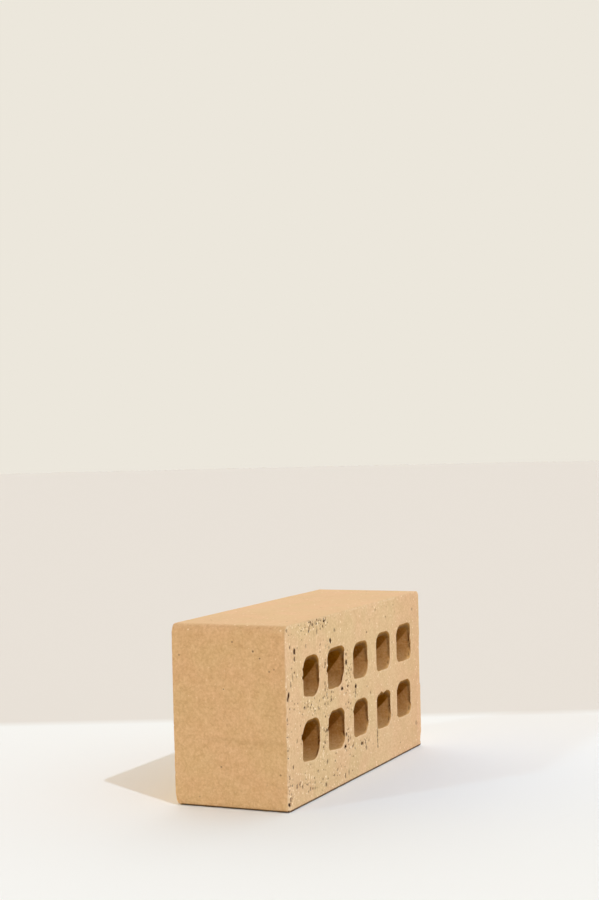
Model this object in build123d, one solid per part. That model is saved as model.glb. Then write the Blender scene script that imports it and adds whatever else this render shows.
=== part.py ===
from build123d import *
import os

# A cored clay brick, extruded, wire-cut and fired in one piece.
# It is stored standing on one of its two long narrow faces.
# X runs along its length, Y through its thickness, Z up its width.
# The origin is in the middle of the face that it stands on. Sizes are in millimetres.

# The column of clay that the die lets out, and the slice that the wires cut from it
brick_length = 230.0  # header to header
brick_width = 110.0  # stretcher face to stretcher face
brick_thickness = 76.0  # bed to bed, which is the spacing of the cutting wires
die_corner_radius = 5.0  # the die rounds the four edges that run from bed to bed
arris_wear = 0.6  # bevel worn on the sharp edges that the wires leave

# The cores, which are the holes that the bars in the die's mouth leave in the column
core_columns = 5  # along the brick
core_rows = 2  # across its width
core_side = 25.0  # across the flats of a rounded square
core_corner_radius = 7.0
end_web = 22.5  # clay behind a header, if the bars hung in the middle of the die
middle_web = 13.5  # clay between one row of cores and the next
core_shift_along = 3.0  # the bars hang off the middle, towards one header
core_shift_up = 1.0  # and a little towards one stretcher face
mouth_wear = 0.8  # bevel worn round each core's mouth

# Each row is spread evenly between the end webs, and the rows keep to the middle web.
core_pitch_along = (brick_length - 2 * end_web - core_side) / max(core_columns - 1, 1)
core_pitch_up = core_side + middle_web


def die_mouth():
    # The outline of the column: a rectangle with rounded corners.
    return RectangleRounded(brick_length, brick_width, die_corner_radius)


def core_bars():
    # The bars that hang in the mouth, in rows and columns, with one core each.
    bar = RectangleRounded(core_side, core_side, core_corner_radius)
    grid = GridLocations(core_pitch_along, core_pitch_up, core_columns, core_rows)
    shift = Pos(core_shift_along, core_shift_up)
    return Sketch() + [shift * place * bar for place in grid]


def cut_column():
    # The section that leaves the die, as thick as the wires are apart, half to each side.
    middle = Plane(origin=(0, 0, brick_width / 2), x_dir=(1, 0, 0), z_dir=(0, -1, 0))
    section = middle * (die_mouth() - core_bars())
    return extrude(section, amount=brick_thickness / 2, both=True)


def wear_edges(brick):
    # Both beds lose the sharp edge that the wire left, outside and round each core's mouth.
    for bed_at in (0, -1):
        bed = brick.faces().sort_by(Axis.Y)[bed_at]
        brick = chamfer(bed.outer_wire().edges(), arris_wear)
    for bed_at in (0, -1):
        bed = brick.faces().sort_by(Axis.Y)[bed_at]
        mouths = [edge for mouth in bed.inner_wires() for edge in mouth.edges()]
        brick = chamfer(mouths, mouth_wear)
    return brick


def write_part(node, solid):
    os.makedirs("parts", exist_ok=True)
    solid.label = node
    export_step(solid, os.path.join("parts", node + ".step"))
    print(node, "volume", round(solid.volume), "mm3, cores", core_columns * core_rows)


write_part("brick", wear_edges(cut_column()))
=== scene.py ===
import itertools
import math

import bpy
import numpy as np
from mathutils import Matrix, Vector, geometry, kdtree


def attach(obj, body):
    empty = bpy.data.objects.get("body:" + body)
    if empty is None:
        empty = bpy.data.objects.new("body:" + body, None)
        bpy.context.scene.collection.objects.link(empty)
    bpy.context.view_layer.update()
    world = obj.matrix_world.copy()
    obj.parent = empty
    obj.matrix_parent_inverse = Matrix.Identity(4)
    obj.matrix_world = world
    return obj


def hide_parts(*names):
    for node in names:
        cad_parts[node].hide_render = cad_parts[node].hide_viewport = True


# A cored clay brick of fired tan clay that stands on a long narrow face in a pale studio.
# Sizes in the dictionaries are in millimetres. Blender's own sizes are in metres.
mm = 0.001

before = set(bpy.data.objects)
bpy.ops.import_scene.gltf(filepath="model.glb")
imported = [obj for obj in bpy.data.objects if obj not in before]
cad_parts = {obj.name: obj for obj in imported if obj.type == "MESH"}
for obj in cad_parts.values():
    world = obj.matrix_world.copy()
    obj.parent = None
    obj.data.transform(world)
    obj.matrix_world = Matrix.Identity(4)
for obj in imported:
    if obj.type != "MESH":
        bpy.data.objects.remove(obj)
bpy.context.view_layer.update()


def linearColour(text):
    # A colour written as sRGB hex, turned into the linear values that Blender works in.
    values = [int(text[at:at + 2], 16) / 255 for at in (1, 3, 5)]
    linear = [v / 12.92 if v <= 0.04045 else ((v + 0.055) / 1.055) ** 2.4 for v in values]
    return (*linear, 1.0)


def clearedTree(owner):
    # The node tree of a material or a world, emptied.
    owner.use_nodes = True
    owner.node_tree.nodes.clear()
    return owner.node_tree


def addNode(tree, kind, inputs=None, **settings):
    # Adds a node. An input is either a plain value or the output of another node.
    node = tree.nodes.new(kind)
    for name, value in settings.items():
        setattr(node, name, value)
    for name, value in (inputs or {}).items():
        if isinstance(value, bpy.types.NodeSocket):
            tree.links.new(value, node.inputs[name])
        else:
            node.inputs[name].default_value = value
    return node


# Random but repeatable fields

def latticeValues(cells, seed):
    # One value from -1 to 1 for each whole-numbered cell, the same in every run. The large odd
    # numbers and the shifts stir each cell's place until no pattern is left.
    key = np.full(len(cells), seed * 7919 + 13, dtype=np.uint32)
    for axis in cells.T:
        key = (key ^ axis.astype(np.int64).astype(np.uint32)) * np.uint32(2654435761)
        key = key ^ (key >> np.uint32(15))
        key = key * np.uint32(2246822519)
        key = key ^ (key >> np.uint32(13))
    return key.astype(np.float64) / 2 ** 31 - 1


def smoothNoise(points, sizes, seed):
    # A smooth field from -1 to 1 whose lumps are about as large as sizes, one for each axis.
    scaled = np.asarray(points, dtype=float) / np.asarray(sizes, dtype=float)
    cell = np.floor(scaled)
    part = scaled - cell
    part = part * part * (3 - 2 * part)
    total = np.zeros(len(scaled))
    for corner in itertools.product((0, 1), repeat=scaled.shape[1]):
        share = np.prod(np.where(np.array(corner) == 1, part, 1 - part), axis=1)
        total += share * latticeValues(cell + corner, seed)
    return total


def lineNoise(run, size, seed):
    # The same along a line.
    return smoothNoise(run[:, None], (size,), seed)


def ramp(value, start, run):
    # 0 up to start, then evenly up to 1 over the run. A run below zero goes the other way.
    return np.clip((value - start) / run, 0, 1)


# The brick

brick = {
    "length": 230.0,
    "width": 110.0,
    "thickness": 76.0,
    # Far foot, far top, near top and near foot. The clay's own weight pressed the lower ones.
    "dieCorners": (4.0, 4.2, 5.0, 2.6),
    "dieCornerSteps": 8,
    # The die's bars, which leave the cores. Their grid hangs a little off the middle, along and up.
    "coreSide": 25.0,
    "coreCorner": 7.0,
    "corePitch": (40.0, 38.5),
    "coreShift": (3.0, 1.0),
    "coreSideSteps": (20, 20, 20, 20),
    "coreCornerSteps": 10,
    # How far each bed's clay stands inside the CAD's flat face, so that its lumps stay within it,
    # the spacing of its mesh, and the seeds of its waves and of its scattered marks
    "front": {"inset": 0.32, "spacing": 1.0, "seed": 101, "markSeed": 12},
    "back": {"inset": 0.12, "spacing": 1.35, "seed": 151, "markSeed": 17},
    "skinInset": 0.12,
    "sideSpacing": 1.2,
    "seed": 5,
    # What the wires, the clay's weight and later knocks did to the outside
    "arrisWear": 0.55,
    "underArris": 0.35,  # share of that wear on the front arris that stands on the floor
    "backArris": 0.7,  # share of it round the back bed
    "knockedCorner": 3.0,  # off the near lower corner of the back bed
    "knockReach": 4.5,
    "skinWave": 0.08,
    "farHollow": 1.1,  # in the middle of the far header, deepest at the front bed
    "farFootWear": 2.6,
    "underLift": 0.10,  # of the underside's front edge off the floor
    "lean": 0.4,  # of the front bed inwards, at its near foot
    "swollenFoot": 0.32,
    # The mouths of the cores
    "mouthWear": 0.35,
    "burr": 0.5,  # clay that the wire left hanging over the right-hand rim
    "rimTear": 0.30,
    "rimSpacing": 0.75,
    "lipDepth": 0.6,
    "roughDepth": 2.4,
    "frontThroat": 26,  # the torn walls reach this far in before the die's own outline is whole
    "backThroat": 34,
    "throatDrops": (3.2, 2.5),  # how far the roof hangs behind the lip, in the upper and lower row
    "throatCorners": (9.0, 9.0, 9.0, 4.5),
    "mouthFlatness": (1.0, 0.6, 0.95, 1.0),  # how tall each corner is, as a share of its radius
    # Where the rings of the walls lie, from each mouth's rim inwards
    "frontDepths": (
        0.3, 0.6, 0.95, 1.35, 1.8, 2.3, 3.0, 3.8, 5.0, 6.2, 7.6, 9.2, 11.0, 13.5, 17.5, 23.0, 30.0),
    "backDepths": (30.0, 21.0, 13.0, 8.0, 4.5, 2.4, 1.2, 0.5),
    # The back mouths' edges shift by chance up to this far, and their radii lie between these
    "backShift": 0.8,
    "backCorners": ((3, 5.5, 6, 3), (7, 7.5, 8.5, 6)),
    # Each front mouth, the upper row first and each row from the near header on. How far its edges
    # stand from the die's bar: left, right, top and bottom, with plus to the right and up. The radii
    # of its corners: lower right, upper right, upper left and lower left. Then how far the lower
    # left corner is filled, how far the edge of the painted shadow on the upper walls falls for each
    # mm inwards, how strong that painted shadow is, and how dark the painted shadow line behind the
    # right rim is.
    "mouths": (
        ((0.0, -0.7, 0.6, 0.5), (9.5, 9.0, 8.5, 3.0), 1.8, 1.20, 1.0, 1.5),
        ((-2.6, -0.9, 0.8, 0.6), (11.0, 6.0, 7.0, 3.2), 0.1, 1.24, 0.97, 1.4),
        ((-0.7, -0.4, -0.7, 0.7), (8.0, 7.0, 8.0, 3.5), 0.6, 1.00, 0.86, 0.5),
        ((0.3, 0.6, 0.8, 0.4), (6.5, 8.0, 7.5, 4.0), 0.1, 1.04, 0.86, 0.6),
        ((-1.8, 0.9, 1.9, 1.4), (4.5, 6.0, 8.5, 5.5), 0.3, 1.05, 0.68, 0.9),
        ((-2.4, -1.4, 0.5, 0.3), (10.0, 8.5, 10.0, 2.4), 1.5, 1.12, 0.85, 1.4),
        ((-2.8, -1.7, 0.2, 0.0), (7.5, 8.0, 7.5, 2.4), 1.3, 0.98, 0.70, 1.5),
        ((-1.4, -1.3, 0.7, 2.1), (6.5, 9.5, 8.0, 3.2), 0.2, 0.96, 0.66, 0.6),
        ((-0.6, 0.1, -1.1, 0.2), (7.0, 5.0, 5.0, 3.5), 0.5, 1.00, 1.0, 1.1),
        ((-2.6, -0.8, 1.4, 1.7), (5.5, 7.5, 8.5, 5.0), 0.0, 0.95, 0.83, 0.7),
    ),
    # The painted shadow's edge starts this far under the mouth's top, falls by at least shadeLeast,
    # and falls no further beyond shadeReach into the core
    "shadeStart": 3.3,
    "shadeLeast": 2.3,
    "shadeReach": 16.0,
    # How much paler the walls of each column's cores are, as a share, and more so towards each
    # core's floor
    "paleness": (0.0, 0.1, 0.45, 0.5, 0.45),
    # Marks are placed by their distance across from the near header and down from the top, and
    # then shifted by this much along x and z.
    "markShift": (-0.9, 0.75),
    # Nicks in the rims of the front mouths: across, down, how far the rim is torn back (a tooth of
    # clay left standing has minus), and how wide
    "nicks": (
        (26.4, 34.4, 1.5, 0.8), (26.8, 29.6, 1.2, 0.7), (64.6, 35.0, 2.0, 1.2), (66.0, 31.0, 0.7, 1.0),
        (24.4, 69.9, 2.0, 1.4), (63.8, 65.0, 0.7, 0.8), (63.6, 71.5, 1.1, 0.8), (105.6, 67.3, 1.2, 0.9),
        (107.2, 31.0, 0.6, 1.2), (93.0, 24.6, 2.2, 2.6), (91.0, 34.5, 1.0, 1.6), (88.5, 30.0, -0.8, 1.0),
        (154.6, 62.2, 1.0, 1.8), (158.9, 62.8, -0.7, 0.9), (164.2, 62.5, 0.7, 1.8),
        (149.6, 65.0, -0.9, 2.0), (211.6, 27.0, 0.7, 1.6), (211.8, 31.5, -1.4, 1.1),
        (212.0, 36.0, 0.8, 1.4), (89.0, 44.0, -1.0, 2.0), (131.8, 38.0, 0.6, 1.2), (50.3, 38.5, 0.5, 1.0),
        (89.6, 80.0, 0.6, 1.2), (171.5, 28.0, 0.5, 1.4), (185.6, 27.5, 0.6, 1.1), (184.8, 66.0, 0.5, 1.2),
        (211.2, 80.5, 1.4, 2.2), (209.4, 61.0, -0.5, 3.0),
    ),
    # Pits that the wire tore in the front bed: across, down, half width, half height and depth.
    # All of them are shifted along by pitShift and scaled by pitScale.
    "pitShift": -1.2,
    "pitScale": (1.05, 1.1, 0.8),
    "pits": (
        (15.5, 17.0, 0.9, 1.6, 1.3), (15.2, 21.6, 0.6, 1.1, 0.9), (5.8, 41.8, 0.8, 1.4, 1.1),
        (4.4, 44.2, 0.7, 1.1, 0.9), (9.2, 36.0, 0.4, 1.8, 0.7), (12.2, 32.0, 0.4, 2.2, 0.6),
        (70.0, 17.2, 0.9, 1.5, 1.2), (67.8, 21.0, 0.5, 0.9, 0.6), (32.5, 15.8, 0.5, 1.0, 0.6),
        (49.0, 9.0, 0.6, 1.4, 0.6), (77.0, 11.3, 0.9, 0.6, 0.7), (95.0, 34.0, 0.9, 1.2, 1.1),
        (87.6, 49.7, 1.4, 0.7, 1.1), (91.2, 87.2, 1.2, 0.8, 1.2), (93.0, 79.5, 1.0, 0.7, 0.9),
        (61.8, 72.0, 0.8, 0.7, 0.9), (61.2, 30.4, 0.7, 0.8, 0.8), (110.4, 51.6, 1.1, 0.9, 1.1),
        (109.4, 55.0, 0.4, 1.8, 0.7), (118.5, 90.2, 1.6, 0.7, 0.9), (126.5, 94.0, 0.9, 0.9, 0.7),
        (146.8, 86.6, 0.35, 2.0, 0.8), (146.6, 89.8, 0.35, 2.2, 0.8), (146.8, 93.2, 0.35, 2.2, 0.8),
        (147.0, 96.2, 0.35, 1.6, 0.8), (110.0, 54.6, 0.35, 2.0, 0.7), (109.4, 57.6, 0.3, 1.8, 0.7),
        (69.6, 54.0, 0.8, 0.7, 0.8), (33.0, 51.8, 0.5, 0.6, 0.6), (43.5, 57.5, 0.4, 1.2, 0.6),
        (61.5, 91.0, 0.6, 1.0, 0.8), (59.0, 105.0, 0.8, 0.9, 0.8), (15.8, 98.0, 0.9, 0.6, 0.7),
        (90.0, 105.5, 0.5, 1.6, 0.7), (96.0, 104.5, 0.5, 1.2, 0.6), (16.8, 70.8, 0.5, 0.8, 0.6),
        (217.5, 12.8, 1.3, 0.5, 0.5), (221.5, 93.5, 1.1, 1.8, 0.5), (174.5, 80.5, 1.0, 0.5, 0.4),
        (62.5, 20.0, 0.4, 0.7, 0.5), (63.0, 49.5, 0.5, 1.2, 0.7), (52.0, 68.5, 0.5, 0.6, 0.5),
        (97.5, 60.0, 0.4, 0.6, 0.5), (112.0, 39.0, 0.4, 0.8, 0.5),
    ),
    # Patches of torn clay on the front bed, each with small pits and light crumbs: across, down,
    # spread across, spread down, and how many of them, which patchDensity multiplies
    "patchDensity": 1.3,
    "patches": (
        (42.0, 2.6, 10.0, 1.8, 46), (34.0, 5.0, 8.0, 3.0, 22), (60.0, 3.5, 4.0, 2.5, 16),
        (36.0, 52.5, 9.0, 3.2, 34), (62.0, 52.0, 6.0, 3.5, 20), (94.0, 46.0, 4.0, 4.0, 16),
        (94.0, 82.0, 3.0, 5.0, 22), (120.0, 90.5, 7.0, 2.5, 18), (57.0, 62.0, 4.0, 6.0, 18),
        (28.0, 97.0, 12.0, 4.0, 22), (62.0, 30.0, 2.5, 5.0, 14), (14.0, 30.0, 4.0, 12.0, 9),
        (99.0, 57.0, 5.0, 6.0, 14), (160.0, 5.0, 20.0, 3.0, 12), (140.0, 50.0, 10.0, 6.0, 8),
        (70.0, 94.0, 22.0, 7.0, 16), (52.0, 28.0, 2.0, 12.0, 12), (3.2, 74.0, 1.6, 6.0, 5),
        (3.4, 92.0, 1.6, 6.0, 8), (6.0, 101.0, 4.0, 3.5, 18), (2.6, 40.0, 1.2, 22.0, 6),
        (30.0, 50.0, 14.0, 3.0, 26), (57.0, 78.0, 3.0, 10.0, 20), (20.0, 10.0, 10.0, 5.0, 9),
        (97.0, 40.0, 3.0, 8.0, 16), (38.0, 100.0, 8.0, 3.0, 16), (56.0, 101.0, 5.0, 3.0, 10),
        (82.0, 103.0, 12.0, 3.0, 12), (100.0, 88.0, 5.0, 4.0, 14),
    ),
    # The back bed's patches lie by chance between these, across and down, with these spreads and count
    "backPatches": 9,
    "backPatchRoom": ((15, 215), (8, 102)),
    "backPatch": (9, 5, 22),
    # Small marks outside the patches, more of them towards the near header
    "looseMarks": 110,
    "looseCrowding": 1.7,
    # Small marks stay this far from a core, and between these across and down
    "coreRoom": 0.8,
    "markRoom": ((1.2, 228.5), (1.2, 108.6)),
}

# How sharply the painted shade of a mark ends, and the rings of mesh points round it: size as a
# share of the mark's, and how many points
smallMark = {"crispness": 2.5, "rings": ((0.55, 6), (1.08, 9))}
largeMark = {"crispness": 8.0, "rings": ((0.5, 7), (0.93, 14), (1.08, 14))}

# The faces laid out side by side on a square map, in millimetres
unfolded = {
    "mapSize": 380.0,
    "margin": 0.001,
    "secondFace": 112,  # the second bed and the second header lie this much further up
    "headers": 233,
    "stretchers": 224,
    "secondStretcher": 77,
    "coreSize": (44, 38),
    "coreSteps": (46, 40),
    "pairedCores": (232, 224),  # six cores lie in pairs, the other four in a column
    "singleCores": (311, 4),
}


def roundedLoop(left, right, bottom, top, radii, sideCounts, cornerCount, flatness=(1, 1, 1, 1)):
    # Points and outward directions round a rounded rectangle, anticlockwise from its lower right
    # corner. The sides come as right, top, left and bottom.
    rises = [radius * share for radius, share in zip(radii, flatness)]
    centres = (
        (right - radii[0], bottom + rises[0]), (right - radii[1], top - rises[1]),
        (left + radii[2], top - rises[2]), (left + radii[3], bottom + rises[3]),
    )
    points = []
    normals = []
    for corner in range(4):
        start = math.radians(90 * corner - 90)
        angles = start + math.pi / 2 * np.arange(cornerCount) / cornerCount
        turned = np.stack([np.cos(angles), np.sin(angles)], axis=1)
        reach = np.array([radii[corner], rises[corner]])
        points.append(np.array(centres[corner]) + reach * turned)
        outward = turned / reach
        normals.append(outward / np.linalg.norm(outward, axis=1)[:, None])
        ahead = np.array([math.cos(start + math.pi / 2), math.sin(start + math.pi / 2)])
        following = (corner + 1) % 4
        first = np.array(centres[corner]) + reach * ahead
        last = np.array(centres[following]) + np.array([radii[following], rises[following]]) * ahead
        share = (np.arange(sideCounts[corner]) / sideCounts[corner])[:, None]
        points.append(first * (1 - share) + last * share)
        normals.append(np.repeat(ahead[None], sideCounts[corner], axis=0))
    return np.concatenate(points), np.concatenate(normals)


def insideLoop(points, loop):
    # True for the points that lie inside the closed loop.
    following = np.roll(loop, -1, axis=0)
    x, y = points[:, :1], points[:, 1:]
    crosses = (loop[:, 1] > y) != (following[:, 1] > y)
    rise = np.where(following[:, 1] == loop[:, 1], 1.0, following[:, 1] - loop[:, 1])
    reach = loop[:, 0] + (y - loop[:, 1]) * (following[:, 0] - loop[:, 0]) / rise
    return (crosses & (x < reach)).sum(axis=1) % 2 == 1


class ClayMesh:
    # Collects points with their marks, and triangles with their places in the texture map.

    def __init__(self):
        self.points = []
        self.marks = []
        self.triangles = []
        self.places = []
        self.count = 0

    def addPoints(self, xz, y, bed=0.0, core=0.0, paintedShade=0.0, crumb=0.0, aboveShadowEdge=0.0, shade=0.0, paleness=0.0):
        size = len(xz)
        whole = np.stack([xz[:, 0], np.broadcast_to(y, size), xz[:, 1]], axis=1)
        marks = [np.broadcast_to(value, size) for value in (bed, core, paintedShade, crumb, aboveShadowEdge, shade, paleness)]
        self.points.append(whole)
        self.marks.append(np.stack(marks, axis=1))
        first = self.count
        self.count += size
        return np.arange(first, first + size)

    def addTriangles(self, triangles, places=None):
        # Places left out are found later from where the triangle lies.
        if places is None:
            places = np.full((len(triangles), 3, 2), np.nan)
        self.triangles.append(triangles)
        self.places.append(places)

    def addStrip(self, front, back, outward, chart=None):
        # Triangles between two rings of as many points. The front ring has the lower y.
        quads = np.stack([front, back, np.roll(back, -1), np.roll(front, -1)], axis=1)
        places = None
        if chart is not None:
            start, step, low, high = chart
            near = start + step * np.arange(len(front))
            far = near + step
            levels = np.full(len(front), low), np.full(len(front), high)
            corners = ((near, levels[0]), (near, levels[1]), (far, levels[1]), (far, levels[0]))
            places = np.stack([np.stack(corner, axis=1) for corner in corners], axis=1)
        for order in ((0, 1, 2), (0, 2, 3)):
            order = list(order if outward else order[::-1])
            self.addTriangles(quads[:, order], None if places is None else places[:, order])


# Marks on the beds. Each is its middle, half width, half height, depth, the darkness of its painted
# shade, and kind.

def corePlaces():
    # The middle of each core, the upper row first and each row from the near header on.
    shiftAlong, shiftUp = brick["coreShift"]
    pitchAlong, pitchUp = brick["corePitch"]
    columns = [shiftAlong + pitchAlong * step for step in (-2, -1, 0, 1, 2)]
    rows = [brick["width"] / 2 + shiftUp + pitchUp * step for step in (0.5, -0.5)]
    return [(x, z) for z in rows for x in columns]


def markPlace(across, down):
    # The x and z of a mark from its distances across and down.
    shiftAlong, shiftUp = brick["markShift"]
    return across - brick["length"] / 2 + shiftAlong, brick["width"] - down + shiftUp


def tornPits():
    # The large pits in the front bed, with painted shade. The deeper ones are darker.
    widen, heighten, deepen = brick["pitScale"]
    marks = []
    for across, down, halfWidth, halfHeight, deep in brick["pits"]:
        x, z = markPlace(across + brick["pitShift"], down)
        darkness = min(1.0, 0.1 + 0.85 * deep * deep)
        marks.append((x, z, widen * halfWidth, heighten * halfHeight, deepen * deep, darkness, largeMark))
    return marks


def scatterMarks(patches, seed):
    # Small pits and crumbs in the torn patches and, thinly, all over the bed.
    chance = np.random.default_rng(seed)
    spots = []
    for across, down, spreadAcross, spreadDown, count in patches:
        for _ in range(round(brick["patchDensity"] * count)):
            u = across + chance.normal() * spreadAcross
            v = down + chance.normal() * spreadDown
            spots.append((u, v))
    for _ in range(brick["looseMarks"]):
        u = brick["length"] * chance.random() ** brick["looseCrowding"]
        v = brick["width"] * chance.random()
        spots.append((u, v))
    marks = []
    cores = corePlaces()
    near = brick["coreSide"] / 2 + brick["coreRoom"]
    (left, right), (top, bottom) = brick["markRoom"]
    for u, v in spots:
        # Few of them are large. Pits are mostly wider than tall, and crumbs the other way.
        size = 0.42 + 0.45 * chance.random() ** 2.5
        tall = size * (0.7 + 1.2 * chance.random() ** 2)
        wide = 1.3 * size
        deep = size * (1.5 + 0.7 * chance.random())
        if chance.random() < 0.5:
            # Half of them are crumbs, which stand out a little
            deep = -0.3 * size
            wide = 0.9 * size
        x, z = markPlace(u, v)
        if any(abs(x - coreX) < near and abs(z - coreZ) < near for coreX, coreZ in cores):
            continue
        if left < u < right and top < v < bottom:
            # Pits get painted shade, darker where they are deeper
            marks.append((x, z, wide, tall, deep, min(1.0, 0.65 + deep * 0.5), smallMark))
    return marks


def placeMarks(chance):
    # All marks of both beds.
    (left, right), (top, bottom) = brick["backPatchRoom"]
    backPatches = [
        (chance.uniform(left, right), chance.uniform(top, bottom), *brick["backPatch"])
        for _ in range(brick["backPatches"])]
    return {
        "front": tornPits() + scatterMarks(brick["patches"], brick["front"]["markSeed"]),
        "back": scatterMarks(backPatches, brick["back"]["markSeed"]),
    }


def markField(xz, marks):
    # Depth, painted shade and lightness that the pits and crumbs give at each point of a bed.
    depth = np.zeros(len(xz))
    paintedShade = np.zeros(len(xz))
    crumb = np.zeros(len(xz))
    for x, z, halfWidth, halfHeight, deep, darkness, kind in marks:
        beside = abs(xz[:, 0] - x) < halfWidth * 1.1
        near = np.flatnonzero(beside & (abs(xz[:, 1] - z) < halfHeight * 1.1))
        if not len(near):
            continue
        radius = ((xz[near, 0] - x) / halfWidth) ** 2 + ((xz[near, 1] - z) / halfHeight) ** 2
        bowl = np.clip(1 - radius, 0, 1) ** 0.8
        depth[near] += deep * bowl
        if deep > 0:
            paintedShade[near] = np.maximum(paintedShade[near], np.clip(bowl * kind["crispness"], 0, 1) * darkness)
        else:
            crumb[near] = np.maximum(crumb[near], bowl)
    return depth, paintedShade, crumb


def bedShape(xz, bed, marks):
    # How deep the wire-cut clay lies below the CAD's bed: slow waves, and lines along the wire's way.
    seed = brick[bed]["seed"]
    slow = smoothNoise(xz, (38, 46), seed) * 0.10
    drag = smoothNoise(xz, (2.6, 34), seed + 1) * 0.025 + smoothNoise(xz, (6.5, 60), seed + 2) * 0.03
    depth, paintedShade, crumb = markField(xz, marks)
    lean = brick["lean"] * ramp(xz[:, 1], 60, -60) * ramp(xz[:, 0], -60, -55)
    # The foot swelled a little where the clay's weight pressed on it
    heel = -brick["swollenFoot"] * ramp(xz[:, 1], 5, -5)
    whole = brick[bed]["inset"] + slow + drag + lean + heel + depth
    return np.maximum(whole, 0.0), paintedShade, crumb


# The column: the die's skin and the arrises that the wires left

def quarterTurn(turn):
    # The shares of an edge's wear by which a ring lies in from the side and from the end. The turn
    # goes from 0, which lies on the end, to 1, which lies on the side.
    angle = turn * math.pi / 2
    return 1 - math.sin(angle), 1 - math.cos(angle)


def arrisWear(run, seed):
    # Small chips and crumbs along a sharp arris.
    small = lineNoise(run, 2.2, seed)
    rare = np.clip(lineNoise(run, 3.1, seed + 1) - 0.45, 0, 1)
    return brick["arrisWear"] * (1 + 0.35 * small) + 2.2 * rare * rare


def skinInset(loop, normals, y):
    # How far the die's skin lies inside the CAD's faces at depth y, all round.
    deep = y + brick["thickness"] / 2
    where = np.stack([loop[:, 0], loop[:, 1], np.broadcast_to(y, len(loop))], axis=1)
    wave = smoothNoise(where, (42, 42, 60), 71) * brick["skinWave"]
    # The far header keeps its full length at its foot and its top, and is hollow between them
    hollow = ramp(loop[:, 1], 42, 3) * ramp(loop[:, 1], 80, -10)
    hollow = np.where(normals[:, 0] > 0.5, brick["farHollow"] * np.clip(1 - deep / 40, 0, 1) * hollow, 0)
    lift = np.where(normals[:, 1] < -0.5, brick["underLift"] * np.clip(1 - deep / 9, 0, 1), 0)
    foot = brick["farFootWear"] * ramp(loop[:, 1], 10, -7) * ramp(normals[:, 0], 0.3, 0.4)
    worn = foot * np.clip(1 - deep / 14, 0, 1) ** 2
    return brick["skinInset"] + wave + hollow + lift + worn


def buildColumn(mesh, bedMarks):
    # Rings from the front bed to the back one. Gives each bed's outline and its points' numbers.
    half = brick["thickness"] / 2
    spacing = brick["sideSpacing"]
    corners = brick["dieCorners"]
    straight = (brick["width"] - 2 * max(corners), brick["length"] - 2 * max(corners))
    counts = [round(straight[side % 2] / spacing) for side in range(4)]
    loop, normals = roundedLoop(
        -brick["length"] / 2, brick["length"] / 2, 0, brick["width"], corners, counts,
        brick["dieCornerSteps"])
    run = np.arange(len(loop)) * spacing
    under = normals[:, 1] < -0.5

    def pulledIn(inset):
        return loop - normals * inset[:, None]

    # Painted contact shadow darkens the lowest edges, where the clay meets the floor
    cornerFootShadow = ramp(loop[:, 1], 1.25, -0.45) * (normals[:, 1] > -0.97) * 0.88
    frontFootShadow = np.maximum(np.where(under, 0.85, 0.0), cornerFootShadow)
    crumbly = np.clip(lineNoise(run, 1.7, 33) - 0.1, 0, 1)
    wearFront = np.where(under, brick["underArris"], 1.0) * arrisWear(run, 31)
    wearBack = arrisWear(run, 41) * brick["backArris"]
    nearFoot = (loop[:, 0] + brick["length"] / 2) ** 2 + loop[:, 1] ** 2
    wearBack = wearBack + brick["knockedCorner"] * np.exp(-nearFoot / brick["knockReach"] ** 2)

    frontInset = skinInset(loop, normals, -half)
    frontEdge = pulledIn(frontInset + wearFront)
    frontDepth, _, _ = bedShape(frontEdge, "front", bedMarks["front"])
    rings = []
    for turn in (0.0, 0.35, 0.7, 1.0):
        offSide, offEnd = quarterTurn(turn)
        points = pulledIn(frontInset + wearFront * offSide)
        y = -half + frontDepth + wearFront * offEnd
        crumb = 0.5 * crumbly * (1 - turn) * ~under
        rings.append(mesh.addPoints(points, y, bed=1 - turn, paintedShade=frontFootShadow, crumb=crumb))

    backInset = skinInset(loop, normals, half)
    backDepth, _, _ = bedShape(pulledIn(backInset), "back", bedMarks["back"])
    backEdge = pulledIn(backInset + wearBack)
    edgeDepth, _, _ = bedShape(backEdge, "back", bedMarks["back"])
    backRings = []
    for turn in (1.0, 0.6):
        offSide, offEnd = quarterTurn(turn)
        points = pulledIn(backInset + wearBack * offSide)
        backRings.append((points, half - backDepth - wearBack * offEnd, 1 - turn))
    backRings.append((backEdge, half - edgeDepth, 1.0))

    # The rings between lie closer together near the beds
    startY = -half + frontDepth + wearFront
    endY = backRings[0][1]
    shares = [0.008, 0.02, 0.04, 0.07] + list(np.linspace(0.105, 0.895, 21)) + [0.93, 0.96, 0.985]
    for share in shares:
        y = startY * (1 - share) + endY * share
        rings.append(mesh.addPoints(pulledIn(skinInset(loop, normals, y)), y, paintedShade=cornerFootShadow))
    for points, y, bed in backRings:
        rings.append(mesh.addPoints(points, y, bed=bed))
    for front, back in zip(rings, rings[1:]):
        mesh.addStrip(front, back, True)
    return {"front": (frontEdge, rings[0]), "back": (backEdge, rings[-1])}


# The cores, whose walls run from a torn mouth to the die's own outline and out again at the back

def coreLoop(middle, shifts, radii, flatness=(1, 1, 1, 1)):
    # A core's outline, whose left, right, top and bottom are shifted from the die's bar.
    x, z = middle
    left, right, top, bottom = shifts
    side = brick["coreSide"] / 2
    box = (x - side + left, x + side + right, z - side + bottom, z + side + top)
    return roundedLoop(*box, radii, brick["coreSideSteps"], brick["coreCornerSteps"], flatness)


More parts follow.
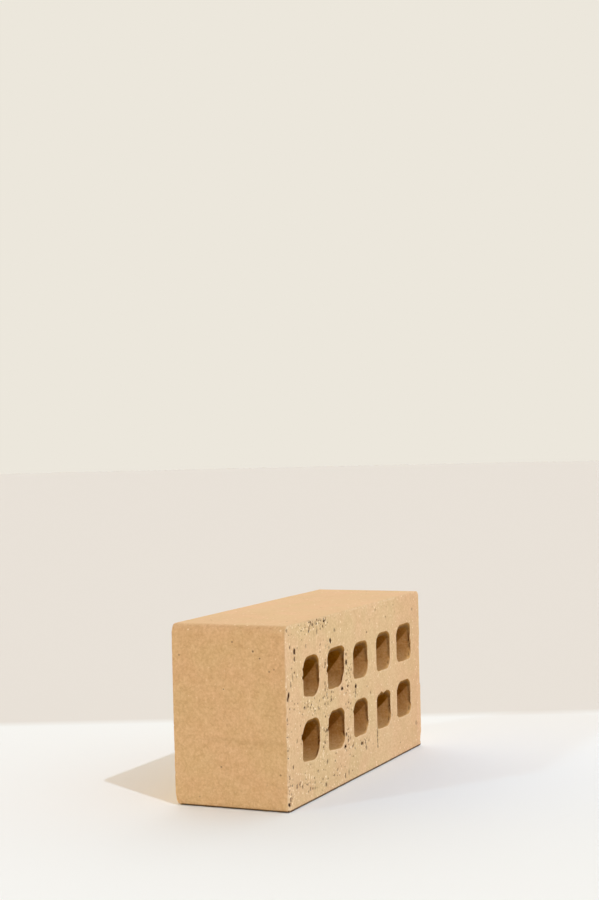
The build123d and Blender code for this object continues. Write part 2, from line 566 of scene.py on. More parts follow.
def tornRim(number, mouth, normals, topAt, lineShade):
    # What the wire and later knocks did round the rim of a front mouth.
    def rimNoise(size, seed):
        return lineNoise(np.arange(len(mouth)) * brick["rimSpacing"], size, seed + number)

    rightward, upward = normals.T
    crumbly = np.clip(rightward * 0.8 - upward * 0.35 + 0.1, 0.12, 1)
    torn = rimNoise(1.6, 200) * brick["rimTear"] * crumbly
    torn += rimNoise(4.5, 220) * brick["rimTear"] * crumbly
    hanging = np.clip(0.5 + 0.6 * rimNoise(2.4, 230), 0, 1)
    lumps = np.clip(0.6 + 0.9 * rimNoise(1.1, 250), 0, 1)
    burr = brick["burr"] * hanging * lumps * np.clip(rightward * 1.4 - 0.3, 0, 1)
    # A broken line of painted shadow stands behind the right rim, below its upper corner
    facing = np.clip(rightward * 1.6 - 0.5, 0, 1) * (upward < 0.8)
    lower = np.clip((topAt - mouth[:, 1] - 5.5) / 2, 0, 1)
    broken = np.clip(lineShade * (0.55 + 1.1 * rimNoise(1.5, 270)), 0, 1)
    # Painted shade darkens the inside of the deeper nicks in the left rim
    dark = np.zeros(len(mouth))
    for across, down, back, wide in brick["nicks"]:
        nickX, nickZ = markPlace(across, down)
        away = (mouth[:, 0] - nickX) ** 2 + (mouth[:, 1] - nickZ) ** 2
        reach = np.exp(-away / (wide * wide))
        torn = torn + back * reach
        if back > 0.9 and rightward[np.argmax(reach)] < -0.3:
            dark = np.maximum(dark, np.clip(1.8 * reach, 0, 1))
    return {
        "torn": torn, "burr": burr, "crumbly": crumbly, "dark": dark, "line": facing * lower * broken,
        "wear": brick["mouthWear"] * (1 + 0.4 * rimNoise(2.0, 280)),
        "backTorn": rimNoise(1.8, 240) * 0.3 + rimNoise(5.0, 260) * 0.3,
        "ribs": rimNoise(2.2, 300)[:, None] * 0.06,
    }


def frontRings(core, rim, marks):
    # Rings from the front mouth inwards, each with its points, y, and shares of bed, pit and crumb.
    half = brick["thickness"] / 2
    normals = core["mouthNormals"]
    wear = rim["wear"]
    front = core["mouth"] + normals * (rim["torn"] - rim["burr"])[:, None]
    depth, _, _ = bedShape(front + normals * wear[:, None], "front", marks)
    rings = []
    for turn in (0.0, 0.4, 0.75, 1.0):
        offSide, offEnd = quarterTurn(turn)
        points = front + normals * (wear * offSide)[:, None]
        y = -half + depth + wear * offEnd
        rings.append((points, y, 1 - turn, rim["dark"], 0.35 * rim["crumbly"] * (1 - turn)))
    # Painted shade darkens the lip along the top and round the upper right corner
    cornerTop = np.clip(normals[:, 0], 0, 1) * np.clip(2 * normals[:, 1] + 0.7, 0, 1)
    lipShade = 0.68 * np.clip(1.6 * normals[:, 1] + 0.1 + 0.8 * cornerTop, 0, 1)
    rimY = -half + depth + wear
    for deep in brick["frontDepths"]:
        settle = max(0.0, 1 - deep / brick["frontThroat"]) ** 1.2
        lip = math.exp(-deep / brick["lipDepth"])
        rough = math.exp(-deep / brick["roughDepth"])
        overhang = math.exp(-(deep / 0.8) ** 2)
        torn = core["throat"] * (1 - lip) + core["mouth"] * lip
        torn = torn + normals * (rim["torn"] * rough - rim["burr"] * overhang)[:, None]
        points = core["plain"] * (1 - settle) + torn * settle + core["plainNormals"] * rim["ribs"]
        line = rim["line"] * math.exp(-((deep - 0.7) / 0.45) ** 2)
        line = np.maximum(line, lipShade * math.exp(-((deep - 0.75) / 1.15) ** 2))
        dark = np.maximum(rim["dark"] * math.exp(-deep / 1.6), line)
        rings.append((points, rimY + deep, 0.0, dark, 0.0))
    return rings


def backRings(core, rim, marks):
    # Rings from the middle out to the back mouth.
    half = brick["thickness"] / 2
    normals = core["backNormals"]
    wear = rim["wear"]
    tear = normals * rim["backTorn"][:, None]
    back = core["backMouth"] + tear
    depth, _, _ = bedShape(back + normals * wear[:, None], "back", marks)
    rings = []
    for deep in brick["backDepths"]:
        settle = max(0.0, 1 - deep / brick["backThroat"]) ** 1.2
        rough = math.exp(-deep / brick["roughDepth"])
        torn = core["backMouth"] + tear * rough
        points = core["plain"] * (1 - settle) + torn * settle
        points = points + core["plainNormals"] * rim["ribs"] * (1 - rough)
        rings.append((points, half - depth - wear - deep, 0.0, 0.0, 0.0))
    for turn in (1.0, 0.5, 0.0):
        offSide, offEnd = quarterTurn(turn)
        points = back + normals * (wear * offSide)[:, None]
        rings.append((points, half - depth - wear * offEnd, 1 - turn, 0.0, 0.2 * (1 - turn)))
    return rings


def coreOnMap(number):
    # The lower left corner of a core's unrolled wall on the texture map.
    stepAcross, stepUp = unfolded["coreSteps"]
    if number < 6:
        across, up = unfolded["pairedCores"]
        return across + stepAcross * (number % 2), up + stepUp * (number // 2)
    across, up = unfolded["singleCores"]
    return across, up + stepUp * (number - 6)


def buildCore(mesh, chance, number, middle, bedMarks):
    # One core. Gives both mouths' outlines and their points' numbers.
    x, z = middle
    row, column = divmod(number, 5)
    half = brick["thickness"] / 2
    side = brick["coreSide"] / 2
    (left, right, top, bottom), corners, fill, fallRate, shadowStrength, lineShade = brick["mouths"][number]
    core = {}
    core["plain"], core["plainNormals"] = coreLoop(middle, (0, 0, 0, 0), (brick["coreCorner"],) * 4)
    mouth, core["mouthNormals"] = coreLoop(
        middle, (left, right, top, bottom), corners, brick["mouthFlatness"])
    mouth[:, 1] += fill * ramp(mouth[:, 0], x, -side) * ramp(mouth[:, 1], z, -side)
    core["mouth"] = mouth
    hung = (left, right, top - brick["throatDrops"][row], bottom)
    core["throat"], _ = coreLoop(middle, hung, brick["throatCorners"])
    shifts = chance.uniform(-brick["backShift"], brick["backShift"], 4)
    core["backMouth"], core["backNormals"] = coreLoop(
        middle, shifts, chance.uniform(*brick["backCorners"]))

    rim = tornRim(number, mouth, core["mouthNormals"], z + side + top, lineShade)
    rings = frontRings(core, rim, bedMarks["front"]) + backRings(core, rim, bedMarks["back"])
    paleShare = brick["paleness"][column]
    indices = []
    for points, y, bed, paintedShade, crumb in rings:
        deep = half - np.abs(y)
        # Above a slanting line that falls as it goes inwards, the walls get painted shadow
        fall = np.maximum(fallRate * np.minimum(deep, brick["shadeReach"]), brick["shadeLeast"])
        aboveShadowEdge = points[:, 1] - z - side - top + brick["shadeStart"] + fall
        # The painted shadow is weaker on the lip and ends at the bed
        shade = ramp(deep, brick["front"]["inset"], 0.5) * shadowStrength
        shade = shade * (0.7 + 0.3 * ramp(deep, 1.2, 1.6))
        # Paler towards the core's floor
        paleness = paleShare + (1 - paleShare) * ramp(points[:, 1] - z + side, 7.5, -9.0)
        indices.append(mesh.addPoints(points, y, bed, 1 - bed, paintedShade, crumb, aboveShadowEdge, shade, paleness))

    across, up = coreOnMap(number)
    coreWidth, coreHeight = unfolded["coreSize"]
    levels = np.linspace(0, coreHeight, len(indices))
    for level, (front, back) in enumerate(zip(indices, indices[1:])):
        chart = (across, coreWidth / len(mouth), up + levels[level], up + levels[level + 1])
        mesh.addStrip(front, back, False, chart)
    return {"front": (rings[0][0], indices[0]), "back": (rings[-1][0], indices[-1])}


# The beds, each a net of triangles between the arris and the mouths

def markPoints(marks):
    # Mesh points that give every mark its shape: its middle, and rings inside it and at its edge.
    points = []
    for x, z, halfWidth, halfHeight, _, _, kind in marks:
        points.append((x, z))
        for share, count in kind["rings"]:
            for turn in range(count):
                angle = 2 * math.pi * (turn + 0.5 * share) / count
                across = share * halfWidth * math.cos(angle)
                points.append((x + across, z + share * halfHeight * math.sin(angle)))
    return np.array(points)


def thinPoints(points, gap):
    # Drops the points that lie nearer than gap to an earlier one.
    taken = {}
    chosen = []
    for x, z in points:
        column, row = int(x // gap), int(z // gap)
        around = [
            other for stepX, stepZ in itertools.product((-1, 0, 1), repeat=2)
            for other in taken.get((column + stepX, row + stepZ), ())]
        if all((otherX - x) ** 2 + (otherZ - z) ** 2 >= gap * gap for otherX, otherZ in around):
            chosen.append((x, z))
            taken.setdefault((column, row), []).append((x, z))
    return np.array(chosen)


def awayFrom(known, points, gap):
    # True for the points that lie further than gap from all the known ones.
    tree = kdtree.KDTree(len(known))
    for at, (x, z) in enumerate(known):
        tree.insert((x, z, 0), at)
    tree.balance()
    return np.array([tree.find((x, z, 0))[2] > gap for x, z in points])


def staggeredGrid(spacing):
    # Points all over a bed, in rows that are set half a space off each other.
    height = spacing * math.sqrt(3) / 2
    rows = []
    for row in range(int(brick["width"] / height)):
        start = -brick["length"] / 2 + spacing * (0.5 if row % 2 else 0.0)
        xs = np.arange(start, brick["length"] / 2, spacing)
        rows.append(np.stack([xs, np.full(len(xs), row * height)], axis=1))
    return np.concatenate(rows)


def netTriangles(loops, inner):
    # Joins the loops' points and the inner ones to triangles that fill the first loop and leave
    # the others open.
    flat = np.concatenate(loops + [inner])
    links = []
    owner = np.full(len(flat), -1)
    start = 0
    for which, loop in enumerate(loops):
        size = len(loop)
        links += [(start + step, start + (step + 1) % size) for step in range(size)]
        owner[start:start + size] = which
        start += size
    result = geometry.delaunay_2d_cdt([Vector(point) for point in flat], links, [], 0, 1e-7)
    # Where two links cross, the net adds a point of its own, which has no origin
    origins = [source[0] if source else -1 for source in result[3]]
    if min(origins) < 0 or len(origins) != len(flat):
        print("a net has", len(origins) - len(flat), "points more than asked")
    triangles = np.array([[origins[index] for index in face] for face in result[2]])
    owners = owner[triangles]
    middles = flat[triangles].mean(axis=1)
    wanted = np.ones(len(triangles), dtype=bool)
    for which, loop in enumerate(loops):
        own = np.flatnonzero((owners == which).all(axis=1))
        within = insideLoop(middles[own], loop)
        wanted[own] = within if which == 0 else ~within
    triangles = triangles[wanted]
    first, second, third = (flat[triangles[:, corner]] for corner in range(3))
    turned = (second[:, 0] - first[:, 0]) * (third[:, 1] - first[:, 1])
    turned -= (second[:, 1] - first[:, 1]) * (third[:, 0] - first[:, 0])
    triangles[turned < 0] = triangles[turned < 0][:, ::-1]
    return triangles


def buildBed(mesh, chance, bed, loops, indices, marks):
    # One bed, with a finer mesh round each mark.
    half = brick["thickness"] / 2
    spacing = brick[bed]["spacing"]
    grid = staggeredGrid(spacing)
    grid = grid + chance.uniform(-0.12, 0.12, grid.shape) * spacing
    special = thinPoints(markPoints(marks), 0.24)
    points = np.concatenate([special, grid[awayFrom(special, grid, 0.62 * spacing)]])
    keep = insideLoop(points, loops[0])
    for hole in loops[1:]:
        low, high = hole.min(axis=0) - 1, hole.max(axis=0) + 1
        near = np.flatnonzero(((points > low) & (points < high)).all(axis=1))
        keep[near] &= ~insideLoop(points[near], hole)
    points = points[keep]
    inner = points[awayFrom(np.concatenate(loops), points, 0.5)]
    triangles = netTriangles(loops, inner)
    depth, paintedShade, crumb = bedShape(inner, bed, marks)
    y = -half + depth
    if bed == "back":
        triangles = triangles[:, ::-1]
        y = half - depth
    innerIndices = mesh.addPoints(inner, y, bed=1.0, paintedShade=paintedShade, crumb=crumb)
    lookup = np.concatenate(indices + [innerIndices])
    mesh.addTriangles(lookup[triangles])
    print("bed", bed, "net of", len(triangles), "triangles")


def buildBrick():
    chance = np.random.default_rng(brick["seed"])
    mesh = ClayMesh()
    bedMarks = placeMarks(chance)
    rims = [buildColumn(mesh, bedMarks)]
    for number, middle in enumerate(corePlaces()):
        rims.append(buildCore(mesh, chance, number, middle, bedMarks))
    print("column and", len(rims) - 1, "cores have", mesh.count, "points")
    for bed in ("front", "back"):
        loops = [rim[bed][0] for rim in rims]
        indices = [rim[bed][1] for rim in rims]
        buildBed(mesh, chance, bed, loops, indices, bedMarks[bed])
    return mesh


def placeOnMap(corners):
    # Where triangles of the outside lie on the texture map, in millimetres of the unfolded brick.
    normals = np.cross(corners[:, 1] - corners[:, 0], corners[:, 2] - corners[:, 0])
    axis = np.argmax(np.abs(normals), axis=1)
    ahead = np.take_along_axis(normals, axis[:, None], axis=1) > 0
    x, y, z = (corners[:, :, which] for which in range(3))
    through = y + brick["thickness"] / 2
    across = np.where((axis == 0)[:, None], through + unfolded["headers"], x + brick["length"] / 2)
    stretcher = through + unfolded["stretchers"] + unfolded["secondStretcher"] * ~ahead
    up = np.where((axis == 2)[:, None], stretcher, z + unfolded["secondFace"] * ahead)
    return np.stack([across, up], axis=2)


def makeMeshObject(clay, name):
    points = np.concatenate(clay.points)
    marks = np.concatenate(clay.marks)
    triangles = np.concatenate(clay.triangles)
    places = np.concatenate(clay.places)
    outside = np.isnan(places[:, 0, 0])
    places[outside] = placeOnMap(points[triangles[outside]])
    mesh = bpy.data.meshes.new(name)
    mesh.vertices.add(len(points))
    mesh.vertices.foreach_set("co", (points * mm).ravel())
    mesh.loops.add(triangles.size)
    mesh.loops.foreach_set("vertex_index", triangles.ravel())
    mesh.polygons.add(len(triangles))
    mesh.polygons.foreach_set("loop_start", np.arange(0, triangles.size, 3))
    mesh.polygons.foreach_set("loop_total", np.full(len(triangles), 3))
    mesh.update(calc_edges=True)
    if mesh.validate():
        print("the mesh had faults, which were mended")
    for column, label in enumerate(("bed", "core", "paintedShade", "crumb", "aboveShadowEdge", "shade", "paleness")):
        attribute = mesh.attributes.new(label, "FLOAT", "POINT")
        attribute.data.foreach_set("value", np.ascontiguousarray(marks[:, column], dtype=np.float32))
    layer = mesh.uv_layers.new(name="OFBake")
    shares = places / unfolded["mapSize"] + unfolded["margin"]
    layer.data.foreach_set("uv", shares.astype(np.float32).ravel())
    mesh.polygons.foreach_set("use_smooth", [True] * len(mesh.polygons))
    mesh.update()
    thing = bpy.data.objects.new(name, mesh)
    bpy.context.scene.collection.objects.link(thing)
    print("brick mesh has", len(triangles), "triangles")
    return thing


clay = buildBrick()
brickObject = makeMeshObject(clay, "clay_brick")


# The clay's look

look = {
    "clayColour": "#d8b486",
    "bedColour": "#d8b78c",
    "pinkColour": "#dfb289",
    "ochreColour": "#d3b683",
    "paleColour": "#e6bd98",
    # The cores' walls, darker and browner than the outside as painted shade for the deep recesses
    "coreColour": "#bb8a4b",
    "paleCoreColour": "#d8aa6c",
    # Painted shadow on the upper part of the core walls
    "paintedShadowColour": "#926007",
    # Painted shade in pits, nicks, pinholes and lips, behind right rims and along the foot; also dark specks
    "shadeAndSpeckColour": "#3c1b00",
    "hairColour": "#9c6d3e",
    "crumbColour": "#fbe5bf",
    "roughness": 0.82,
    "sheen": 0.1,
    # How strongly each pattern lightens or darkens the clay, and the size of its lumps
    "cloud": 0.015,
    "cloudSize": 34,
    "mottle": 0.035,
    "mottleSize": 5.5,
    "grain": 0.098,
    "grainSize": 1.5,
    "streak": 0.062,
    "streakSize": (1.5, 1.5, 9),
    "tornSize": 18,
    "coreLines": 0.02,
    "coreLineSize": (1.6, 45, 1.6),
    "longFaceCalm": 0.6,  # how much weaker mottling and grain are on the long faces
    # The clay drifts between pink and ochre, under this much of its plain colour, less on the beds
    "tintSize": 22,
    "plainness": 0.78,
    "bedDrift": 0.08,
    # How much pinker and darker the beds are at their far end, and how much paler at their near end
    # and along the far header's lip
    "farPink": 0.35,
    "farDark": 0.05,
    "nearPale": 0.30,
    "lipPale": 0.35,
    # How much lighter the headers are at their foot and darker at their top, as painted light and shade
    "rise": 0.035,
    # How much stronger in colour and how much redder the clay gets as it darkens
    "richness": 0.5,
    "redness": 0.035,
    # Hairline crackle in the headers' skin: how dark, and the size and weight of its cells
    "crackle": 0.16,
    "crackleCells": ((7.5, 1.0), (3.6, 0.7)),
    # A faint seam across the near header: how dark, how high, and how far it wanders
    "seam": 0.17,
    "seamHeight": 40.6,
    "seamWander": 3.0,
    # A speck shows where chance passes this limit, in the skin and in the torn clay
    "speckSize": 3.0,
    "lightSpecks": (0.88, 0.66),
    "darkSpecks": (0.975, 0.70),
    # Pinholes in the near header's skin: along y, up z, and radius
    "pinholes": ((-16.6, 94.7, 0.7), (-21.0, 90.6, 0.5), (3.4, 71.5, 0.42)),
    # How dark the painted contact shadow is along the beds' foot
    "footShadowDarkness": 0.9,
    # How far each pattern stands out, or lies deeper where it has minus
    "grainRelief": 0.14,
    "streakRelief": 0.18,
    "coreLineRelief": 0.07,
    "crackleRelief": -0.03,
    "lightSpeckRelief": 0.14,
    "darkSpeckRelief": -0.30,
    "pinholeRelief": -0.60,
}


def makeClay():
    # Fired tan clay. The die left a tight, finely crackled skin on the sides, the wire tore the beds
    # into short streaks with pits and crumbs, and the cores are ribbed along their length. Painted
    # shade makes the core walls browner and darkens the pits, nicks, pinholes, lips, the foot and the
    # headers' top, and painted shadow browns the cores' upper walls.
    material = bpy.data.materials.new("fired_clay_skin_and_cut")
    tree = clearedTree(material)

    def maths(operation, first, second=0.0, third=0.0, clamp=False):
        inputs = {0: first, 1: second, 2: third}
        return addNode(tree, "ShaderNodeMath", inputs, operation=operation, use_clamp=clamp).outputs[0]

    def vectorMaths(operation, inputs):
        return addNode(tree, "ShaderNodeVectorMath", inputs, operation=operation)

    def spread(value, low, high, toLow=0.0, toHigh=1.0):
        return addNode(tree, "ShaderNodeMapRange", {
            "Value": value, "From Min": low, "From Max": high, "To Min": toLow, "To Max": toHigh}).outputs[0]

    def swing(value, amount):
        # Noise turned into a change of tone, up to so much either way
        return spread(value, 0.3, 0.7, -amount, amount)

    def mixed(share, first, second):
        return addNode(tree, "ShaderNodeMix", {0: share, 6: first, 7: second}, data_type="RGBA").outputs[2]

    where = addNode(tree, "ShaderNodeTexCoord")
    place = vectorMaths("SCALE", {0: where.outputs["Object"], "Scale": 1 / mm}).outputs[0]
    x, y, z = addNode(tree, "ShaderNodeSeparateXYZ", {0: place}).outputs

    def noise(size, detail=2.0, roughness=0.5, output="Fac"):
        # Noise with lumps of about this size, or of one size for each axis
        vector, scale = place, 1.0
        if isinstance(size, tuple):
            vector = vectorMaths("MULTIPLY", {0: place, 1: tuple(1 / one for one in size)}).outputs[0]
        else:
            scale = 1 / size
        return addNode(tree, "ShaderNodeTexNoise", {
            "Vector": vector, "Scale": scale, "Detail": detail, "Roughness": roughness}).outputs[output]

    bed, core, paintedShade, crumb, aboveShadowEdge, shade, paleness = (
        addNode(tree, "ShaderNodeAttribute", attribute_name=name).outputs["Fac"]
        for name in ("bed", "core", "paintedShade", "crumb", "aboveShadowEdge", "shade", "paleness"))
    skin = maths("SUBTRACT", 1.0, maths("ADD", bed, core), clamp=True)
    header = maths("MULTIPLY", skin, spread(maths("ABSOLUTE", x), 109.0, 113.0))

    # Slow clouds, mottling and fine grain, everywhere but calmer on the long faces
    cloud = swing(noise(look["cloudSize"], 3.0), look["cloud"])
    mottle = swing(noise(look["mottleSize"]), look["mottle"])
    grainHeight = noise(look["grainSize"], 4.0, 0.62)
    grain = swing(grainHeight, look["grain"])
    calmed = maths("MULTIPLY", maths("SUBTRACT", skin, header), look["longFaceCalm"])
    stretcherCalm = maths("SUBTRACT", 1.0, calmed)
    tone = maths("ADD", cloud, maths("MULTIPLY", maths("ADD", mottle, grain), stretcherCalm))
    # Painted shade darkens the headers towards their top, painted light lightens their foot
    headerShading = spread(z, 0.0, brick["width"], look["rise"], -look["rise"])
    tone = maths("MULTIPLY_ADD", headerShading, header, tone)

    # Wire-cut streaks, which run up the brick and fade towards the far end
    streak = noise(look["streakSize"], 3.0, 0.6)
    torn = spread(x, -70.0, 40.0, 1.0, 0.3)
    torn = maths("MULTIPLY", torn, spread(noise(look["tornSize"], 1.0), 0.4, 0.6, 0.45, 1.2))
    torn = maths("MULTIPLY", torn, bed)
    tone = maths("MULTIPLY_ADD", swing(streak, look["streak"]), torn, tone)

    # Ribs along the cores, left by the bars
    rib = noise(look["coreLineSize"])
    tone = maths("MULTIPLY_ADD", swing(rib, look["coreLines"]), core, tone)

    # Hairline crackle in the headers' skin, broken up so that only short lengths show
    wander = noise(5, 3.0, output="Color")
    hair = 0.0
    for size, weight in look["crackleCells"]:
        bent = vectorMaths("SCALE", {0: wander, "Scale": 0.55 * size}).outputs[0]
        bent = vectorMaths("ADD", {0: bent, 1: place}).outputs[0]
        cells = addNode(tree, "ShaderNodeTexVoronoi", {
            "Vector": bent, "Scale": 1 / size, "Randomness": 0.75}, feature="DISTANCE_TO_EDGE")
        lines = spread(cells.outputs["Distance"], 0.10 / size, 0.55 / size, weight, 0.0)
        patchy = spread(noise(size / 1.3), 0.46, 0.64)
        hair = maths("MULTIPLY_ADD", lines, patchy, hair)
    hair = maths("MULTIPLY", hair, header, clamp=True)

    # The seam, which runs over part of the near header
    seamStart = look["seamHeight"] - look["seamWander"] / 2
    drawn = maths("MULTIPLY_ADD", noise(16, 1.0), look["seamWander"], seamStart)
    seam = spread(maths("ABSOLUTE", maths("SUBTRACT", z, drawn)), 0.3, 2.4, 0.9, 0.0)
    onNear = maths("LESS_THAN", x, -100.0)
    along = maths("MULTIPLY", spread(y, 19.0, 12.0), onNear)
    seam = maths("MULTIPLY", maths("MULTIPLY", seam, along), header)
    lined = maths("MULTIPLY_ADD", seam, look["seam"], maths("MULTIPLY", hair, look["crackle"]))

    # Small light and dark specks, dense in the torn clay and rare in the skin and the cores
    specks = addNode(tree, "ShaderNodeTexVoronoi", {
        "Vector": place, "Scale": 1 / look["speckSize"]}, feature="F1").outputs
    dot = spread(specks["Distance"], 0.14, 0.27, 1.0, 0.0)
    chance = addNode(tree, "ShaderNodeSeparateColor", {"Color": specks["Color"]}).outputs
    notCore = maths("MULTIPLY_ADD", core, -0.8, 1.0)

    def dots(value, limits):
        shown = maths("GREATER_THAN", value, spread(bed, 0.0, 1.0, *limits))
        return maths("MULTIPLY", maths("MULTIPLY", dot, shown), notCore)

    lightDot = dots(chance[0], look["lightSpecks"])
    darkDot = dots(chance[1], look["darkSpecks"])

    # Pinholes with a pale rim and painted shade inside
    hole = 0.0
    halo = 0.0
    onFace = addNode(tree, "ShaderNodeCombineXYZ", {0: 0.0, 1: y, 2: z}).outputs[0]
    for holeY, holeZ, radius in look["pinholes"]:
        away = vectorMaths("DISTANCE", {0: onFace, 1: (0, holeY, holeZ)}).outputs["Value"]
        hole = maths("MAXIMUM", hole, spread(away, radius * 0.3, radius * 1.2, 0.75, 0.0))
        halo = maths("MAXIMUM", halo, spread(away, radius * 1.4, radius * 3.0, 0.10, 0.0))
    onHeader = maths("MULTIPLY", header, onNear)
    hole = maths("MULTIPLY", hole, onHeader)
    halo = maths("MULTIPLY", halo, onHeader)

    # The clay drifts between pink and ochre, and less so on the beds
    tint = spread(noise(look["tintSize"], 1.0), 0.36, 0.64)
    colour = mixed(tint, linearColour(look["ochreColour"]), linearColour(look["pinkColour"]))
    plain = mixed(bed, linearColour(look["clayColour"]), linearColour(look["bedColour"]))
    colour = mixed(maths("MULTIPLY_ADD", bed, -look["bedDrift"], look["plainness"]), colour, plain)
    # The beds are pinker towards the far end and paler at the near one, like the far header's lip
    far = maths("MULTIPLY", spread(x, 50.0, 105.0), bed)
    colour = mixed(maths("MULTIPLY", far, look["farPink"]), colour, linearColour(look["pinkColour"]))
    tone = maths("MULTIPLY_ADD", far, -look["farDark"], tone)
    pale = maths("MULTIPLY", spread(x, -115.0, -104.0, look["nearPale"], 0.0), bed)
    lip = maths("MULTIPLY", spread(x, 106.5, 108.5), spread(z, 47.0, 50.0, look["lipPale"], 0.0))
    pinkish = maths("MAXIMUM", pale, maths("MULTIPLY", lip, bed))
    colour = mixed(pinkish, colour, linearColour(look["paleColour"]))
    # The core walls: darker than the outside as painted shade, paler towards their floor and in some columns
    inner = mixed(paleness, linearColour(look["coreColour"]), linearColour(look["paleCoreColour"]))
    # Painted shadow darkens the core walls above a slanting edge like a cast shadow's
    paintedShadow = maths("MULTIPLY", spread(aboveShadowEdge, -0.45, 0.45), shade)
    inner = mixed(paintedShadow, inner, linearColour(look["paintedShadowColour"]))
    colour = mixed(core, colour, inner)
    # Darker clay is redder and stronger in colour too, not only greyer
    colour = addNode(tree, "ShaderNodeHueSaturation", {
        "Hue": maths("MULTIPLY_ADD", tone, look["redness"], 0.5),
        "Saturation": maths("MULTIPLY_ADD", tone, -look["richness"], 1.0),
        "Value": maths("ADD", tone, 1.0), "Color": colour}).outputs[0]
    colour = mixed(lined, colour, linearColour(look["hairColour"]))
    light = maths("MULTIPLY_ADD", lightDot, 0.55, maths("MAXIMUM", crumb, halo), clamp=True)
    colour = mixed(light, colour, linearColour(look["crumbColour"]))
    # A thin line of painted contact shadow where the beds meet the floor
    paintedFootShadow = maths("MULTIPLY", spread(z, 0.9, 1.35, look["footShadowDarkness"], 0.0), bed)
    # Painted shade of pits, nicks, lips and pinholes, the painted contact shadow, and the dark specks
    dark = maths("MAXIMUM", maths("MAXIMUM", paintedShade, hole), paintedFootShadow)
    dark = maths("MULTIPLY_ADD", darkDot, 0.4, dark, clamp=True)
    colour = mixed(dark, colour, linearColour(look["shadeAndSpeckColour"]))

    # Relief in millimetres
    relief = maths("MULTIPLY", grainHeight, maths("MULTIPLY", stretcherCalm, look["grainRelief"]))
    raised = (
        (maths("MULTIPLY", streak, torn), "streakRelief"), (maths("MULTIPLY", rib, core), "coreLineRelief"),
        (hair, "crackleRelief"), (lightDot, "lightSpeckRelief"), (darkDot, "darkSpeckRelief"),
        (hole, "pinholeRelief"))
    for pattern, name in raised:
        relief = maths("MULTIPLY_ADD", pattern, look[name], relief)
    bump = addNode(tree, "ShaderNodeBump", {"Height": relief, "Strength": 1.0, "Distance": mm}).outputs[0]

    shader = addNode(tree, "ShaderNodeBsdfPrincipled", {
        "Base Color": colour, "Roughness": look["roughness"], "Specular IOR Level": look["sheen"],
        "Normal": bump})
    addNode(tree, "ShaderNodeOutputMaterial", {"Surface": shader.outputs["BSDF"]})
    return material


brickObject.data.materials.append(makeClay())
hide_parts("brick")
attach(brickObject, "root")
print("brick has its clay")


# The studio: a pale floor, a pale backdrop and soft lamps

studio = {
    "floorColour": "#eef1ee",
    "farColour": "#dfdcd4",
    # The floor's far part starts this far ahead of the camera, over a soft line this wide
    "farStarts": 1304.0,
    "farBlend": 24.0,
    "floorReach": 20.0,  # metres
    "backdropColour": "#ece7dc",
    "backdropRadius": 12.0,  # metres
    # The room's soft light from each side: direction to it, and colour times strength
    "sky": {
        "back": ((0.9152, 0.4029, 0), (2.9, 2.8, 2.65)),
        "front": ((-0.9152, -0.4029, 0), (0.66, 0.40, 0.30)),
        "right": ((0.4029, -0.9152, 0), (1.40, 1.48, 1.36)),
        "left": ((-0.4029, 0.9152, 0), (1.47, 1.00, 0.10)),
        "top": ((0, 0, 1), (0.16, 0.13, 0.26)),
    },
    # Each lamp: direction to it in the brick's frame, colour times strength, and how soft
    "lamps": {
        "key": ((-0.3375, -0.5575, 0.758), (0.78, 0.95, 1.20), 1.0),
        "fill": ((-0.733, 0.476, 0.485), (0.20, 0.34, 0.45), 3.0),
    },
}

# Place and lens in millimetres, pitch and roll in degrees
camera = {
    "place": (-996.2, -443.5, 219.8),
    "forward": (0.91305, 0.40784),
    "pitch": 0.375,
    "roll": 1.275,
    "lens": 66.171,
    "sensor": 36.0,
}


def makeFloor():
    # Matt pale paper, a little darker from a line across the view on.
    material = bpy.data.materials.new("studio_floor")
    tree = clearedTree(material)
    forward = Vector((*camera["forward"], 0))
    where = addNode(tree, "ShaderNodeTexCoord")
    along = addNode(tree, "ShaderNodeVectorMath", {
        0: where.outputs["Object"], 1: tuple(forward)}, operation="DOT_PRODUCT")
    start = (studio["farStarts"] + Vector(camera["place"][:2] + (0,)).dot(forward)) * mm
    blend = studio["farBlend"] / 2 * mm
    share = addNode(tree, "ShaderNodeMapRange", {
        "Value": along.outputs["Value"], "From Min": start - blend, "From Max": start + blend})
    colour = addNode(tree, "ShaderNodeMix", {
        0: share.outputs["Result"], 6: linearColour(studio["floorColour"]),
        7: linearColour(studio["farColour"])}, data_type="RGBA")
    shader = addNode(tree, "ShaderNodeBsdfPrincipled", {
        "Base Color": colour.outputs[2], "Roughness": 0.9, "Specular IOR Level": 0.0})
    addNode(tree, "ShaderNodeOutputMaterial", {"Surface": shader.outputs["BSDF"]})
    size = studio["floorReach"]
    corners = [(-size, -size, 0), (size, -size, 0), (size, size, 0), (-size, size, 0)]
    mesh = bpy.data.meshes.new("studio_floor")
    mesh.from_pydata(corners, [], [(0, 1, 2, 3)])
    mesh.materials.append(material)
    floor = bpy.data.objects.new("studio_floor", mesh)
    bpy.context.scene.collection.objects.link(floor)
    return floor


def makeBackdrop():
    # A pale glowing dome that only the camera sees.
    material = bpy.data.materials.new("studio_backdrop")
    tree = clearedTree(material)
    light = addNode(tree, "ShaderNodeEmission", {"Color": linearColour(studio["backdropColour"])})
    addNode(tree, "ShaderNodeOutputMaterial", {"Surface": light.outputs["Emission"]})
    bpy.ops.mesh.primitive_uv_sphere_add(segments=64, ring_count=32, radius=studio["backdropRadius"])
    backdrop = bpy.context.object
    backdrop.name = "studio_backdrop"
    backdrop.data.materials.append(material)
    backdrop.visible_diffuse = False
    backdrop.visible_glossy = False
    backdrop.visible_transmission = False
    backdrop.visible_shadow = False
    return backdrop


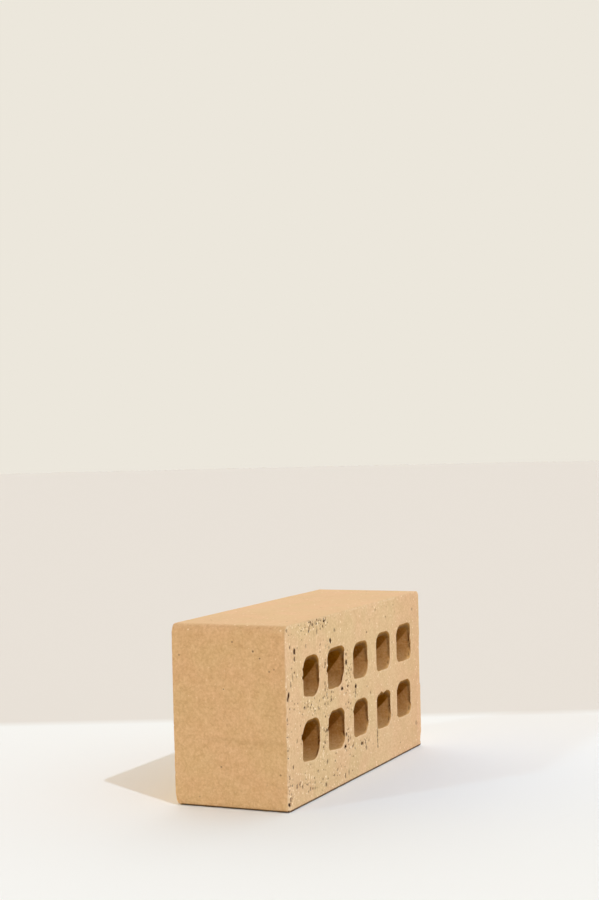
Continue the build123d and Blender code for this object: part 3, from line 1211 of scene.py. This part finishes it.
def makeLamps():
    for name, (direction, colour, softness) in studio["lamps"].items():
        lamp = bpy.data.lights.new(name + "_lamp", "SUN")
        lamp.energy = max(colour)
        lamp.color = [value / max(colour) for value in colour]
        lamp.angle = math.radians(softness)
        holder = bpy.data.objects.new(name + "_lamp", lamp)
        holder.rotation_euler = Vector(direction).to_track_quat("Z", "Y").to_euler()
        bpy.context.scene.collection.objects.link(holder)


def makeAir():
    # Soft light from all round. Each side's light is strongest straight towards it and fades evenly.
    world = bpy.data.worlds.new("studio_air")
    bpy.context.scene.world = world
    tree = clearedTree(world)

    def maths(kind, operation, inputs, output=0):
        return addNode(tree, kind, inputs, operation=operation).outputs[output]

    towards = addNode(tree, "ShaderNodeTexCoord").outputs["Generated"]
    total = (0, 0, 0)
    for direction, colour in studio["sky"].values():
        lobe = maths("ShaderNodeVectorMath", "DOT_PRODUCT", {0: towards, 1: direction}, "Value")
        lobe = maths("ShaderNodeMath", "MAXIMUM", {0: lobe, 1: 0.0})
        lobe = maths("ShaderNodeMath", "MULTIPLY", {0: lobe, 1: lobe})
        tinted = maths("ShaderNodeVectorMath", "SCALE", {0: colour, "Scale": lobe})
        total = maths("ShaderNodeVectorMath", "ADD", {0: tinted, 1: total})
    background = addNode(tree, "ShaderNodeBackground", {"Color": total})
    addNode(tree, "ShaderNodeOutputWorld", {"Surface": background.outputs[0]})


def makeCamera():
    pitch, roll = math.radians(camera["pitch"]), math.radians(camera["roll"])
    forward = Vector((*camera["forward"], 0)).normalized()
    right = Vector((forward.y, -forward.x, 0))
    view = forward * math.cos(pitch) - Vector((0, 0, math.sin(pitch)))
    up = right.cross(view)
    across = right * math.cos(roll) - up * math.sin(roll)
    upward = right * math.sin(roll) + up * math.cos(roll)
    data = bpy.data.cameras.new("photo_camera")
    data.lens = camera["lens"]
    data.sensor_width = camera["sensor"]
    data.sensor_fit = "AUTO"
    data.clip_start = 0.05
    data.clip_end = 100
    holder = bpy.data.objects.new("photo_camera", data)
    turn = Matrix((across, upward, -view)).transposed().to_4x4()
    holder.matrix_world = Matrix.Translation(Vector(camera["place"]) * mm) @ turn
    bpy.context.scene.collection.objects.link(holder)
    bpy.context.scene.camera = holder


makeFloor()
makeBackdrop()
makeLamps()
makeAir()
makeCamera()
bpy.context.scene.view_settings.view_transform = "Standard"
bpy.context.scene.view_settings.look = "None"
print("studio, lamps and camera are set")
